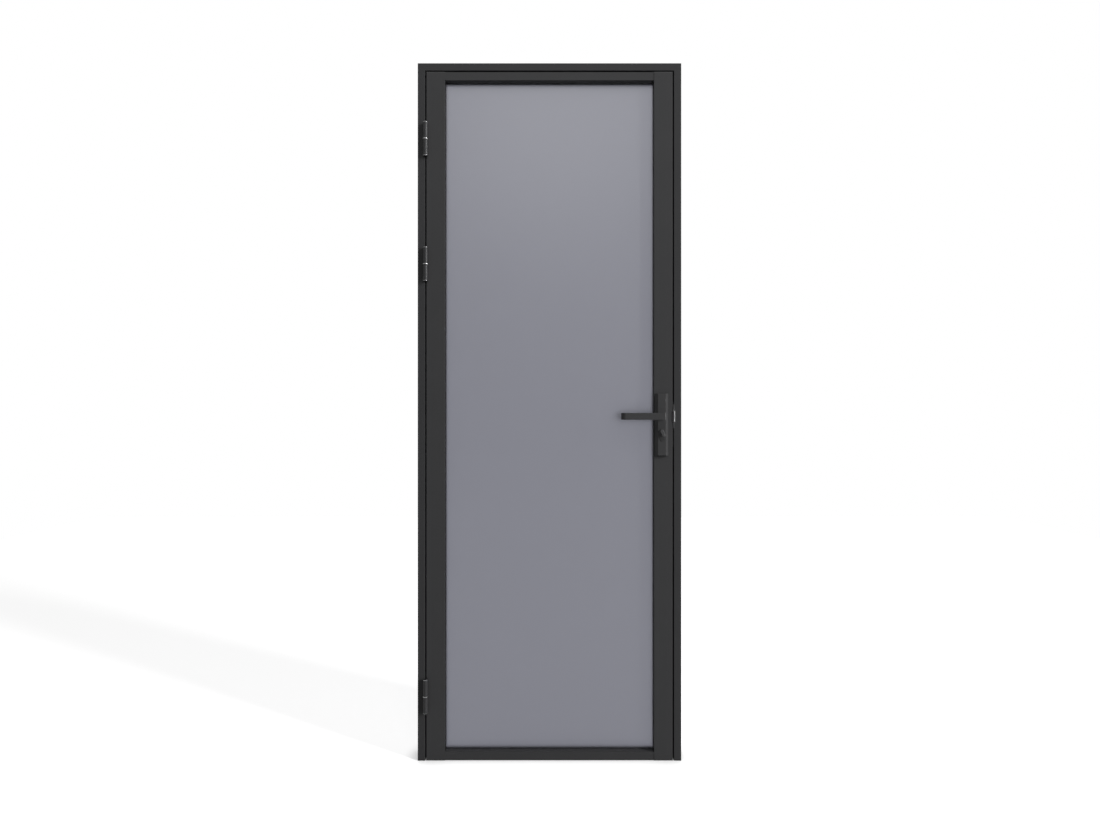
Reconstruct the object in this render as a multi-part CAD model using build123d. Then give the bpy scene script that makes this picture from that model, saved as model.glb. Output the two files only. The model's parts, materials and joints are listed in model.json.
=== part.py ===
from build123d import *
from math import cos, radians, sin
import os

# Glass door with its frame: one glazed leaf, hung on the left, that opens towards the viewer.
# Millimetres, X to the right, Y away from the viewer, Z up. The origin is on the floor, under the
# middle of the frame and in the middle of the leaf's thickness.

# Overall sizes
frame_width = 792.0
frame_height = 2096.0
leaf_depth = 50.0
leaf_gap = 4.0
floor_gap = 1.0

# Shared by every cut and fit
overrun = 5.0
loose_fit = 0.3
slip_fit = 0.05
run_gap = 0.1

# Frame profile
frame_face = 22.0
frame_wall = 2.0
frame_edge_wall = 3.0
frame_edge_round = 0.8
stop_width = 12.0
stop_depth = 13.0
stop_gap = 4.0

# Seal in the frame's stop
seal_inset = 5.0
seal_mouth = 3.0
seal_cavity = 5.0
seal_slot_lip = 1.2
seal_slot_depth = 4.0
seal_fit = 0.2
seal_bulb_width = 7.0
seal_bulb_wall = 1.0
seal_bulb_round = 1.6
seal_leaf_gap = 0.5

# Frame corner cleats and wall fixings
cleat_leg = 70.0
cleat_depth = 40.0
fixing_low = 320.0
fixing_below_lever = 255.0
fixing_above_lever = 205.0
fixing_top_inset = 396.0
fixing_radius = 3.25
fixing_access_radius = 6.0
fixing_y = 3.0
cap_flange_radius = 7.5
cap_flange = 0.8

# Leaf profiles
stile_face = 56.0
rail_face = 25.0
rail_inset = 1.0
lip_height = 10.0
profile_wall = 2.0
leaf_edge_wall = 3.0
leaf_edge_round = 0.8
end_cap = 1.5
end_cap_plug = 10.0
end_cap_wall = 2.0

# Glazing
glass_thickness = 8.0
glass_bite = 7.0
gasket_thickness = 5.0
gasket_width = 6.0
gasket_recess = 0.4
bead_wall = 1.5
bead_nose = 1.5
bead_splay = 7.0
bead_slot_width = 4.0
bead_slot_depth = 3.5
bead_fit = 0.2
block_length = 80.0
block_inset = 150.0

# Rail joints and brush
port_radius = 3.4
port_web = 2.4
port_front = -6.3
port_back = 8.8
rail_screw_radius = 1.95
rail_screw_length = 30.0
rail_screw_head_radius = 3.8
rail_screw_head = 2.4
rail_access_radius = 4.5
brush_slot_width = 5.0
brush_slot_depth = 5.0
brush_pile = 3.0
brush_floor_gap = 0.3

# Hinges
hinge_top_inset = 231.0
hinge_middle_inset = 605.5
hinge_bottom_height = 197.0
hinge_shift = 0.7
hinge_stand = 8.5
knuckle_radius = 7.0
knuckle_height = 48.0
hinge_pin_radius = 4.5
hinge_washer_radius = 7.8
hinge_washer = 2.0
hinge_cap = 2.0
hinge_cap_chamfer = 0.6
hinge_cap_spigot = 5.0
hinge_plate = 2.5
hinge_plate_depth = 33.0
hinge_seat = 1.0
hinge_screw_pitch = 34.0
hinge_screw_inset = 18.0
hinge_screw_radius = 2.4
hinge_screw_head_radius = 4.6
hinge_screw_length = 12.0
screw_socket_radius = 1.9
screw_socket_depth = 1.4

# Lock, measured from the leaf's edge and the floor
backset = 34.0
lever_height = 1035.0
cylinder_below_lever = 50.0
plate_below_lever = 25.0
case_below_lever = 87.0
case_above_lever = 33.0
case_depth = 16.0
case_wall = 1.2
case_back_gap = 0.3
forend_length = 170.0
forend_width = 20.0
forend_thickness = 2.0
forend_seat = 1.2
forend_round = 4.0
forend_screw_inset = 7.0
forend_screw_radius = 1.9
forend_screw_head_radius = 3.6
forend_screw_length = 14.0

# Latch and follower
latch_throw = 11.0
latch_travel = 12.0
latch_height = 20.0
latch_depth = 12.0
latch_nose = 3.0
latch_flat = 1.0
latch_back = 11.5
latch_tail_depth = 4.8
latch_tail_height = 13.0
latch_tail_lift = 12.0
latch_riser = 7.5
latch_tine = 4.0
lever_angle = 40.0
follower_pin_radius = 2.0
follower_pin_room = 0.6
follower_hub_radius = 7.0
follower_disc_radius = 8.2
follower_disc = 5.0
follower_arm_width = 7.0
follower_arm = 3.0
follower_lug_reach = 11.0
follower_lug_width = 5.0
spring_strip = 0.8
spring_width = 4.0
spring_fold_shares = (0.15, 0.85)

# Deadbolt and cylinder
bolt_travel = 12.0
bolt_height = 18.0
bolt_depth = 10.0
bolt_sink = 1.3
bolt_length = 22.0
bolt_tail_depth = 3.0
bolt_tail_bar = 3.6
bolt_riser = 5.0
cam_rest_angle = 30.0
cam_turn = 90.0
cam_pin_radius = 1.8
cam_lead_room = 0.95
cam_hub_radius = 3.5
cam_arm_width = 6.0
cam_arm = 2.8
cylinder_radius = 8.5
cylinder_web = 10.0
cylinder_drop = 24.5
cylinder_proud = 1.0
cylinder_cam_gap = 10.0
cylinder_bridge_drop = 9.0
cylinder_screw_drop = 19.0
cylinder_screw_radius = 2.0
cylinder_screw_head_radius = 4.0
cylinder_hole_fit = 0.25
plug_radius = 6.5
key_slot_width = 2.4
key_slot_height = 9.0
key_slot_depth = 20.0

# Thumb-turn
turn_collar_radius = 9.0
turn_collar = 4.0
turn_length = 24.0
turn_width = 10.0
turn_reach = 13.0
turn_edge = 1.2

# Backplates
plate_width = 40.0
plate_length = 186.0
plate_depth = 11.0
plate_bevel = 8.3
plate_edge = 3.0
plate_end_chamfer = 1.5
pocket_width = 24.0
pocket_depth = 6.5
pocket_end_wall = 5.0
plate_bolt_spread = 156.0
plate_bolt_radius = 2.5
plate_bolt_head_radius = 4.8
plate_boss_radius = 6.0
plate_bolt_cover = 2.5
bush_wall = 2.0
bush_flange = 1.8
bush_flange_rim = 2.0

# Levers
lever_length = 125.0
lever_bar_height = 20.0
lever_bar = 10.0
lever_neck_width = 10.5
lever_projection = 58.0
lever_return = 26.0
lever_end_bend = 13.0
lever_hub_round = 4.5
lever_neck_bend = 5.0
lever_tip_round = 2.0
lever_edge = 0.8
collar_radius = 8.0
spindle_side = 8.0
spindle_fit = 0.1
spindle_cover = 21.0
grub_radius = 2.4
grub_inset = 27.0

# Strike and dust box
strike_length = 140.0
strike_width = 24.0
strike_thickness = 1.5
strike_seat = 0.3
strike_round = 3.0
strike_hole_fit = 1.5
strike_tongue = 72.0
strike_lip = 32.0
strike_lip_bend = 2.6
strike_lip_lead = 1.0
strike_screw_inset = 8.0
dust_box_wall = 1.0
dust_box_depth = 13.0
dust_box_rim = 2.0

# Places worked out from the sizes above
half_width = frame_width / 2
jamb_face = half_width - frame_face
head_face = frame_height - frame_face
stop_nose = jamb_face - stop_width
leaf_edge = jamb_face - leaf_gap
leaf_top = head_face - leaf_gap
leaf_bottom = floor_gap
leaf_middle = (leaf_bottom + leaf_top) / 2
leaf_front = -leaf_depth / 2
leaf_back = leaf_depth / 2
stop_front = leaf_back + stop_gap
frame_back = stop_front + stop_depth
sight_x = leaf_edge - stile_face
box_x = sight_x + lip_height
sight_low = leaf_bottom + rail_face
sight_high = leaf_top - rail_face
box_low = sight_low - lip_height
glass_front = -glass_thickness / 2
glass_back = glass_thickness / 2
lip_back = glass_front - gasket_thickness
bead_front = glass_back + gasket_thickness
bead_middle = (bead_front + leaf_back) / 2
fixing_heights = (
    fixing_low,
    lever_height - fixing_below_lever,
    lever_height + fixing_above_lever,
    frame_height - fixing_top_inset,
)
hinge_heights = {
    "top": frame_height - hinge_top_inset,
    "middle": frame_height - hinge_middle_inset,
    "bottom": hinge_bottom_height,
}
hinge_x = -(jamb_face + leaf_edge) / 2 + hinge_shift
hinge_y = leaf_front - hinge_stand
hinge_bore = hinge_pin_radius + slip_fit
lock_x = leaf_edge - backset
cylinder_height = lever_height - cylinder_below_lever
plate_height_centre = lever_height - plate_below_lever
case_low = lever_height - case_below_lever
case_high = lever_height + case_above_lever
forend_face = leaf_edge - forend_seat + forend_thickness
forend_back = leaf_edge - forend_seat
case_back = box_x + profile_wall + case_back_gap
case_inner = case_back + case_wall
plate_face = leaf_back + plate_depth
lever_face = leaf_back + lever_projection
strike_face = jamb_face + strike_seat - strike_thickness
strike_back = jamb_face + strike_seat

from_base = (Align.CENTER, Align.CENTER, Align.MIN)
mirror_x = Plane.YZ
mirror_y = Plane.XZ


def about(middle, width):
    """The two ends of a width laid evenly about a middle."""
    return (middle - width / 2, middle + width / 2)


def rect(us, vs):
    """A rectangle between two places along each axis of a section."""
    centre = Pos((us[0] + us[1]) / 2, (vs[0] + vs[1]) / 2)
    return centre * Rectangle(us[1] - us[0], vs[1] - vs[0])


def block(xs, ys, zs):
    """A box between two places along each axis."""
    centre = Pos((xs[0] + xs[1]) / 2, (ys[0] + ys[1]) / 2, (zs[0] + zs[1]) / 2)
    return centre * Box(xs[1] - xs[0], ys[1] - ys[0], zs[1] - zs[0])


def rod_x(radius, xs, y, z):
    """A round bar along X."""
    return Pos(xs[0], y, z) * Rot(0, 90, 0) * Cylinder(radius, xs[1] - xs[0], align=from_base)


def rod_y(radius, x, ys, z):
    """A round bar along Y."""
    return Pos(x, ys[0], z) * Rot(-90, 0, 0) * Cylinder(radius, ys[1] - ys[0], align=from_base)


def rod_z(radius, x, y, zs):
    """A round bar along Z."""
    return Pos(x, y, zs[0]) * Cylinder(radius, zs[1] - zs[0], align=from_base)


def standing(section, zs):
    """A section drawn in X and Y, run upwards."""
    return Pos(0, 0, zs[0]) * extrude(section, amount=zs[1] - zs[0])


def lying(section, xs):
    """A section drawn in Z and Y, run along X."""
    plane = Plane(origin=(xs[1], 0, 0), x_dir=(0, 0, 1), z_dir=(-1, 0, 0))
    return extrude(plane * section, amount=xs[1] - xs[0])


def upright(outline, ys):
    """An outline drawn in X and Z, run along Y."""
    plane = Plane(origin=(0, ys[1], 0), x_dir=(1, 0, 0), z_dir=(0, -1, 0))
    return extrude(plane * outline, amount=ys[1] - ys[0])


def flip_leaf(piece):
    """The same piece at the other end of the leaf's height."""
    return mirror(piece, about=Plane.XY.offset(leaf_middle))


def corner(sketch, u, v):
    """The corner of a section that is nearest to a place."""
    return sketch.vertices().sort_by_distance((u, v, 0))[0]


def head_screw(radius, head_radius, length):
    """A countersunk screw along Z, its head's face at the top, with a six-sided socket."""
    head = head_radius - radius
    cone = Cone(radius, head_radius, head, align=from_base)
    shank = rod_z(radius, 0, 0, (head - length, 0))
    socket = extrude(RegularPolygon(screw_socket_radius, 6), amount=screw_socket_depth + overrun)
    screw = cone + shank - Pos(0, 0, head - screw_socket_depth) * socket
    return Pos(0, 0, -head) * screw


def head_hole(radius, head_radius, length):
    """The hole that such a screw passes through, a little wider than the screw."""
    head = head_radius - radius
    wide = head_radius + slip_fit
    cone = Pos(0, 0, -head) * Cone(radius + slip_fit, wide, head, align=from_base)
    way_in = rod_z(wide, 0, 0, (0, overrun))
    return cone + way_in + rod_z(radius + slip_fit, 0, 0, (-length - overrun, -head))


def cylinder_outline(fit):
    """The lock cylinder's outline in X and Z: a round barrel with a narrow web below it."""
    half = cylinder_web / 2 + fit
    low = cylinder_height - cylinder_drop + cylinder_web / 2
    barrel = Pos(lock_x, cylinder_height) * Circle(cylinder_radius + fit)
    web = rect((lock_x - half, lock_x + half), (low, cylinder_height))
    return barrel + web + Pos(lock_x, low) * Circle(half)


# Frame

def frame_section():
    """The hollow frame profile: the first axis runs from the face by the leaf out to the wall."""
    outline = rect((0, frame_face), (leaf_front, frame_back))
    outline = fillet(outline.vertices().group_by(Axis.Y)[0], frame_edge_round)
    outline += rect((-stop_width, 0), (stop_front, frame_back))
    outer = frame_face - frame_wall
    back = frame_back - frame_wall
    slot_middle = seal_inset - stop_width
    nose = slot_middle + seal_cavity / 2 + frame_wall
    main = rect((frame_edge_wall, outer), (leaf_front + frame_wall, stop_front))
    rear = rect((nose, outer), (stop_front + frame_wall, back))
    rear += rect((frame_wall - stop_width, nose), (stop_front + seal_slot_depth + frame_wall, back))
    slot_back = stop_front + seal_slot_depth
    mouth = rect(about(slot_middle, seal_mouth), (stop_front, slot_back))
    cavity = rect(about(slot_middle, seal_cavity), (stop_front + seal_slot_lip, slot_back))
    return outline - main - rear - mouth - cavity


def seal_section():
    """The soft seal: a foot in the slot and a hollow bulb towards the leaf."""
    middle = seal_inset - stop_width
    tip = leaf_back + seal_leaf_gap
    foot_width = seal_cavity - seal_fit * 2
    foot_back = stop_front + seal_slot_depth - seal_fit
    foot = rect(about(middle, foot_width), (stop_front + seal_slot_lip + seal_fit, foot_back))
    neck = rect(about(middle, seal_mouth - seal_fit * 2), (stop_front - seal_bulb_wall, foot_back))
    bulb = rect(about(middle, seal_bulb_width), (tip, stop_front))
    bulb = fillet(bulb.vertices().group_by(Axis.Y)[0], seal_bulb_round)
    room = about(middle, seal_bulb_width - seal_bulb_wall * 2)
    bulb -= rect(room, (tip + seal_bulb_wall, stop_front - seal_bulb_wall))
    return bulb + neck + foot


mitre_ys = (leaf_front - overrun, frame_back + overrun)
head_nose = head_face - stop_width
jamb_mitre = upright(
    Polygon(
        (stop_nose, 0),
        (half_width, 0),
        (half_width, frame_height),
        (stop_nose, head_nose),
        align=None,
    ),
    mitre_ys,
)
head_mitre = upright(
    Polygon(
        (-half_width, frame_height),
        (-stop_nose, head_nose),
        (stop_nose, head_nose),
        (half_width, frame_height),
        align=None,
    ),
    mitre_ys,
)


def jamb_run(section):
    """A profile run up the right-hand jamb, mitred at the top."""
    return standing(Pos(jamb_face, 0) * section, (0, frame_height)) & jamb_mitre


def head_run(section):
    """A profile run along the head, mitred at both ends."""
    return lying(Pos(head_face, 0) * section, (-half_width, half_width)) & head_mitre


def fixing_holes():
    """The wall-fixing holes of the right-hand jamb, with a wider way in from the leaf's side."""
    tools = []
    for height in fixing_heights:
        tools.append(rod_x(fixing_radius, (jamb_face, half_width + overrun), fixing_y, height))
        way_in = (jamb_face - overrun, jamb_face + frame_edge_wall + overrun)
        tools.append(rod_x(fixing_access_radius, way_in, fixing_y, height))
    return tools


def fixing_caps():
    """Push-in caps for those holes."""
    caps = []
    plug = fixing_access_radius - loose_fit
    for height in fixing_heights:
        flange = rod_x(cap_flange_radius, (jamb_face - cap_flange, jamb_face), fixing_y, height)
        stem = rod_x(plug, (jamb_face, jamb_face + frame_edge_wall), fixing_y, height)
        caps.append(flange + stem)
    return caps


def corner_cleat():
    """The L-shaped cleat in the right-hand mitre."""
    inner = jamb_face + frame_edge_wall + loose_fit
    outer = half_width - frame_wall - loose_fit
    low = head_face + frame_edge_wall + loose_fit
    high = frame_height - frame_wall - loose_fit
    outline = rect((inner, outer), (high - cleat_leg, high))
    outline += rect((outer - cleat_leg, outer), (low, high))
    return upright(outline, about(fixing_y, cleat_depth))


def strike_outline(fit):
    """The strike's flat outline: a main plate and a tongue that runs out to the frame's front."""
    xs = (strike_face, strike_back)
    width = strike_width + fit * 2
    length = strike_length + fit * 2
    main = block(xs, about(0, width), about(plate_height_centre, length))
    main = fillet(main.edges().filter_by(Axis.X), strike_round)
    front = leaf_front - strike_lip_lead
    return main + block(xs, (front, 0), about(lever_height, strike_tongue + fit * 2))


latch_window = block(
    (strike_face - overrun, half_width - frame_wall),
    about(0, latch_depth + strike_hole_fit * 2),
    about(lever_height, latch_height + strike_hole_fit * 2),
)
bolt_window = block(
    (strike_face - overrun, half_width - frame_wall),
    about(0, bolt_depth + strike_hole_fit * 2),
    about(cylinder_height, bolt_height + strike_hole_fit * 2),
)
strike_spread = strike_length / 2 - strike_screw_inset
strike_screw_places = [
    Pos(strike_face, 0, plate_height_centre + side * strike_spread) * Rot(0, -90, 0) for side in (-1, 1)
]


def strike_plate():
    """The strike with its two windows and the curved lip that leads the latch in."""
    bend_x = strike_back + strike_lip_bend
    bend_y = leaf_front - strike_lip_lead
    outside = strike_lip_bend + strike_thickness
    quarter = rect((bend_x - outside, bend_x), (bend_y - outside, bend_y))
    bend = Pos(bend_x, bend_y) * (Circle(outside) - Circle(strike_lip_bend))
    lip = standing(bend & quarter, about(lever_height, strike_lip))
    plate = strike_outline(0) + lip - latch_window - bolt_window
    for place in strike_screw_places:
        plate -= place * head_hole(forend_screw_radius, forend_screw_head_radius, forend_screw_length)
    return plate


def dust_box():
    """The plastic box behind both windows, open to the leaf, with a rim against the jamb's wall."""
    front = jamb_face + frame_edge_wall
    low = cylinder_height - bolt_height / 2 - strike_hole_fit
    high = lever_height + latch_height / 2 + strike_hole_fit
    room = latch_depth + strike_hole_fit * 2
    inside = block((front - overrun, front + dust_box_depth), about(0, room), (low, high))
    wall = dust_box_wall
    back = front + dust_box_depth + wall
    shell = block((front, back), about(0, room + wall * 2), (low - wall, high + wall))
    reach = wall + dust_box_rim
    rim = block((front, front + wall), about(0, room + reach * 2), (low - reach, high + reach))
    return shell + rim - inside


strike_jamb = jamb_run(frame_section())
for tool in fixing_holes():
    strike_jamb -= tool
hinge_jamb = mirror(strike_jamb, about=mirror_x)
strike_jamb -= strike_outline(loose_fit)
strike_jamb -= latch_window
strike_jamb -= bolt_window
for place in strike_screw_places:
    strike_jamb -= place * head_hole(forend_screw_radius, forend_screw_head_radius, forend_screw_length)

seal_jamb = jamb_run(seal_section())
cleat = corner_cleat()
caps = fixing_caps()

# Leaf

def leaf_section(face, outer_wall, front):
    """A leaf profile: the first axis runs from the sight edge, over the lip, to the leaf's edge."""
    outline = rect((lip_height, face), (front, leaf_back))
    outline += rect((0, lip_height), (front, lip_back))
    outline = fillet(outline.vertices().group_by(Axis.Y)[0], leaf_edge_round)
    inner = lip_height + profile_wall
    chamber = rect((inner, face - outer_wall), (front + profile_wall, leaf_back - profile_wall))
    guard_end = lip_height + bead_slot_depth + profile_wall
    chamber -= rect((0, guard_end), about(bead_middle, bead_slot_width + profile_wall * 2))
    lip_chamber = rect((profile_wall, lip_height), (front + profile_wall, lip_back - profile_wall))
    slot = rect((0, lip_height + bead_slot_depth), about(bead_middle, bead_slot_width))
    return outline - chamber - lip_chamber - slot


port_middle = lip_height + (rail_face - lip_height) / 2
port_places = (port_front, port_back)


def rail_section():
    """The rail's profile, set back from the stiles, with two screw ports and a slot for the brush."""
    section = leaf_section(rail_face, profile_wall, leaf_front + rail_inset)
    wall = rail_face - profile_wall
    for place in port_places:
        section += Pos(port_middle, place) * Circle(port_radius)
        section += rect((port_middle, wall), about(place, port_web))
    section += rect((wall - brush_slot_depth, rail_face), about(0, brush_slot_width + profile_wall * 2))
    section -= rect((rail_face - brush_slot_depth, rail_face), about(0, brush_slot_width))
    for place in port_places:
        section -= Pos(port_middle, place) * Circle(rail_screw_radius + slip_fit)
    return section


def bead_outline():
    """The glazing bead's outside: its sight face slopes away behind the glass."""
    return Polygon(
        (0, bead_front),
        (lip_height, bead_front),
        (lip_height, leaf_back),
        (bead_splay, leaf_back),
        (0, bead_front + bead_nose),
        align=None,
    )


def bead_section():
    """The clip-in glazing bead: a hollow bar with a foot for the profile's slot."""
    foot_end = lip_height + bead_slot_depth - bead_fit
    room_end = lip_height - bead_wall
    room_ys = (bead_front + bead_wall, leaf_back - bead_wall)
    room = Polygon((bead_wall, room_ys[0]), (room_end, room_ys[0]), (room_end, room_ys[1]), align=None)
    foot = about(bead_middle, bead_slot_width - bead_fit * 2)
    return bead_outline() - room + rect((room_end, foot_end), foot)


def end_cap_piece():
    """The cap in the top of the right-hand stile."""
    outline = rect((box_x, leaf_edge), (leaf_front, leaf_back))
    outline += rect((sight_x, box_x), (leaf_front, lip_back))
    lid = standing(outline, (leaf_top - end_cap, leaf_top))
    start = box_x + bead_slot_depth + profile_wall + loose_fit
    xs = (start, leaf_edge - leaf_edge_wall - loose_fit)
    ys = (leaf_front + profile_wall + loose_fit, leaf_back - profile_wall - loose_fit)
    zs = (leaf_top - end_cap - end_cap_plug, leaf_top - end_cap)
    plug = block(xs, ys, zs)
    room_xs = (xs[0] + end_cap_wall, xs[1] - end_cap_wall)
    room_ys = (ys[0] + end_cap_wall, ys[1] - end_cap_wall)
    return lid + plug - block(room_xs, room_ys, zs)


def rail_screw(x, y, z):
    """A pan-head screw from inside the right-hand stile into a rail's port."""
    shank = rod_x(rail_screw_radius, (x - rail_screw_length, x), y, z)
    return shank + rod_x(rail_screw_head_radius, (x, x + rail_screw_head), y, z)


stile_zs = (leaf_bottom + end_cap, leaf_top - end_cap)
stile_section = leaf_section(stile_face, leaf_edge_wall, leaf_front)
lock_stile = standing(Pos(sight_x, 0) * stile_section, stile_zs)
rail_screws = []
for y in port_places:
    z = sight_high + port_middle
    hole = rod_x(rail_screw_radius + loose_fit, (box_x - overrun, box_x + profile_wall + overrun), y, z)
    way_in = rod_x(rail_access_radius, (leaf_edge - leaf_edge_wall - overrun, leaf_edge + overrun), y, z)
    screw = rail_screw(box_x + profile_wall, y, z)
    lock_stile -= hole + way_in
    lock_stile -= flip_leaf(hole + way_in)
    rail_screws += [screw, flip_leaf(screw)]
rail_screws += [mirror(screw, about=mirror_x) for screw in rail_screws]
hinge_stile = mirror(lock_stile, about=mirror_x)

top_rail = lying(Pos(sight_high, 0) * rail_section(), (-box_x, box_x))
lip_cut = block(
    (sight_x, box_x + overrun),
    (leaf_front - overrun, lip_back),
    (sight_high - overrun, leaf_top + overrun),
)
top_rail -= lip_cut
top_rail -= mirror(lip_cut, about=mirror_x)
bottom_rail = flip_leaf(top_rail)

end_cap_top = end_cap_piece()
end_caps = [end_cap_top, flip_leaf(end_cap_top)]
end_caps += [mirror(cap, about=mirror_x) for cap in end_caps]

bead_top = lying(Pos(sight_high, 0) * bead_section(), (-box_x, box_x))
bead_bottom = flip_leaf(bead_top)
cope_x = box_x + bead_slot_depth
bead_cope = lying(Pos(sight_high, 0) * bead_outline(), (-cope_x, cope_x))
bead_zs = (sight_low - lip_height, sight_high + lip_height)
bead_lock_side = standing(Pos(sight_x, 0) * bead_section(), bead_zs)
bead_lock_side -= bead_cope
bead_lock_side -= flip_leaf(bead_cope)
bead_hinge_side = mirror(bead_lock_side, about=mirror_x)

pane_x = sight_x + glass_bite
pane_zs = (sight_low - glass_bite, sight_high + glass_bite)
glass_pane = block((-pane_x, pane_x), (glass_front, glass_back), pane_zs)


def gasket(ys):
    """A soft ring between the glass and the profile round it."""
    inner = gasket_recess
    outer = gasket_recess + gasket_width
    ring = rect((-sight_x - outer, sight_x + outer), (sight_low - outer, sight_high + outer))
    ring -= rect((-sight_x - inner, sight_x + inner), (sight_low - inner, sight_high + inner))
    return upright(ring, ys)


block_x = pane_x - block_inset
block_ys = (glass_front, glass_back)
foot_zs = (box_low, pane_zs[0])
setting_blocks = [block(about(x, block_length), block_ys, foot_zs) for x in (-block_x, block_x)]
setting_blocks.append(block((pane_x, box_x), block_ys, about(pane_zs[1] - block_inset, block_length)))
setting_blocks.append(block((-box_x, -pane_x), block_ys, about(pane_zs[0] + block_inset, block_length)))

brush_top = leaf_bottom + brush_slot_depth - bead_fit
brush = rect((leaf_bottom, brush_top), about(0, brush_slot_width - bead_fit * 2))
brush += rect((brush_floor_gap, leaf_bottom), about(0, brush_pile))
bottom_brush = lying(brush, (-box_x, box_x))

# Hinges

hinge_half_height = knuckle_height + hinge_washer / 2
hinge_plate_ys = (leaf_front, leaf_front + hinge_plate_depth)
frame_plate_xs = (-jamb_face - hinge_seat, -jamb_face - hinge_seat + hinge_plate)
leaf_plate_xs = (-leaf_edge + hinge_seat - hinge_plate, -leaf_edge + hinge_seat)


def hinge_screw_places(height, face, turn):
    """Where a hinge plate's screws go, with their heads in its face."""
    y = leaf_front + hinge_screw_inset
    return [Pos(face, y, height + step * hinge_screw_pitch) * Rot(0, turn, 0) for step in (-1, 0, 1)]


def hinge_half(height, plate_xs, knuckle_zs, places):
    """Half a hinge: a knuckle on the pin, and a plate that lies between the leaf and the jamb."""
    knuckle = rod_z(knuckle_radius, hinge_x, hinge_y, knuckle_zs)
    neck = block(plate_xs, (hinge_y, leaf_front), knuckle_zs)
    plate = block(plate_xs, hinge_plate_ys, about(height, hinge_half_height * 2))
    half = knuckle + neck + plate
    half -= rod_z(hinge_bore, hinge_x, hinge_y, (knuckle_zs[0] - overrun, knuckle_zs[1] + overrun))
    for place in places:
        half -= place * head_hole(hinge_screw_radius, hinge_screw_head_radius, hinge_screw_length)
    return half


def hinge_cap_piece(height):
    """The bright cap on top of a hinge, with a spigot in the knuckle's bore."""
    base = height + hinge_half_height
    cap = rod_z(knuckle_radius, hinge_x, hinge_y, (base, base + hinge_cap))
    cap = chamfer(cap.edges().sort_by(Axis.Z)[-1], hinge_cap_chamfer)
    return cap + rod_z(hinge_pin_radius, hinge_x, hinge_y, (base - hinge_cap_spigot, base))


def hinge_seat_cut(height, xs):
    """The shallow seat that a hinge plate lies in, open to the front."""
    ys = (leaf_front - overrun, hinge_plate_ys[1] + loose_fit)
    return block(xs, ys, about(height, hinge_half_height * 2 + loose_fit * 2))


hinge_frame_halves = {}
hinge_leaf_halves = {}
hinge_pins = []
hinge_washers = []
hinge_upper_caps = []
hinge_lower_caps = []
hinge_frame_screws = []
hinge_leaf_screws = []
hinge_screw = head_screw(hinge_screw_radius, hinge_screw_head_radius, hinge_screw_length)
hinge_shank = rod_z(hinge_screw_radius + slip_fit, 0, 0, (-hinge_screw_length, 0))
for name, height in hinge_heights.items():
    washer_zs = about(height, hinge_washer)
    low, high = about(height, hinge_half_height * 2)
    frame_places = hinge_screw_places(height, frame_plate_xs[1], 90)
    leaf_places = hinge_screw_places(height, leaf_plate_xs[0], -90)
    hinge_frame_halves[name] = hinge_half(height, frame_plate_xs, (low, washer_zs[0]), frame_places)
    upper_zs = (washer_zs[1] + run_gap, high)
    hinge_leaf_halves[name] = hinge_half(height, leaf_plate_xs, upper_zs, leaf_places)
    pin_zs = (low + hinge_cap_spigot, high - hinge_cap_spigot - run_gap)
    hinge_pins.append(rod_z(hinge_pin_radius, hinge_x, hinge_y, pin_zs))
    washer = rod_z(hinge_washer_radius, hinge_x, hinge_y, washer_zs)
    hinge_washers.append(washer - rod_z(hinge_bore, hinge_x, hinge_y, washer_zs))
    upper_cap = hinge_cap_piece(height)
    hinge_upper_caps.append(upper_cap)
    hinge_lower_caps.append(mirror(upper_cap, about=Plane.XY.offset(height)))
    hinge_frame_screws += [place * hinge_screw for place in frame_places]
    hinge_leaf_screws += [place * hinge_screw for place in leaf_places]
    hinge_jamb -= hinge_seat_cut(height, (-jamb_face - hinge_seat, -jamb_face + overrun))
    hinge_stile -= hinge_seat_cut(height, (-leaf_edge - overrun, -leaf_edge + hinge_seat))
    for place in frame_places:
        hinge_jamb -= place * hinge_shank
    for place in leaf_places:
        hinge_stile -= place * hinge_shank

# Lock case and forend

case_ys = about(0, case_depth)
inner_ys = (case_ys[0] + case_wall, case_ys[1] - case_wall)
inner_xs = (case_inner, forend_back - case_wall)
inner_zs = (case_low + case_wall, case_high - case_wall)
hub_ys = (case_ys[0] - overrun, case_ys[1] + overrun)
hub_hole = rod_y(follower_hub_radius + slip_fit, lock_x, hub_ys, lever_height)
cylinder_way = (-plate_face - overrun, plate_face + overrun)
cylinder_hole = upright(cylinder_outline(cylinder_hole_fit), cylinder_way)
latch_guide = block(
    (inner_xs[1] - overrun, forend_face + overrun),
    about(0, latch_depth + loose_fit * 2),
    about(lever_height, latch_height + loose_fit * 2),
)
bolt_guide = block(
    (inner_xs[1] - overrun, forend_face + overrun),
    about(0, bolt_depth + loose_fit * 2),
    about(cylinder_height, bolt_height + loose_fit * 2),
)
cylinder_screw_z = cylinder_height - cylinder_screw_drop
cylinder_screw_way = rod_x(
    cylinder_screw_radius + slip_fit, (lock_x - cylinder_radius, forend_face), 0, cylinder_screw_z
)

lock_case = block((case_back, forend_back), (case_ys[0], inner_ys[1]), (case_low, case_high))
lock_case -= block(inner_xs, (inner_ys[0], inner_ys[1] + overrun), inner_zs)
lock_case -= hub_hole
lock_case -= cylinder_hole
lock_case -= latch_guide
lock_case -= bolt_guide
lock_case -= cylinder_screw_way
lock_case_cover = block((case_back, forend_back), (inner_ys[1], case_ys[1]), (case_low, case_high))
lock_case_cover -= hub_hole
lock_case_cover -= cylinder_hole


def forend_shape(xs, fit):
    """The forend's rounded outline, or the seat milled for it."""
    width = forend_width + fit * 2
    length = forend_length + fit * 2
    shape = block(xs, about(0, width), about(plate_height_centre, length))
    return fillet(shape.edges().filter_by(Axis.X), forend_round)


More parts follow.
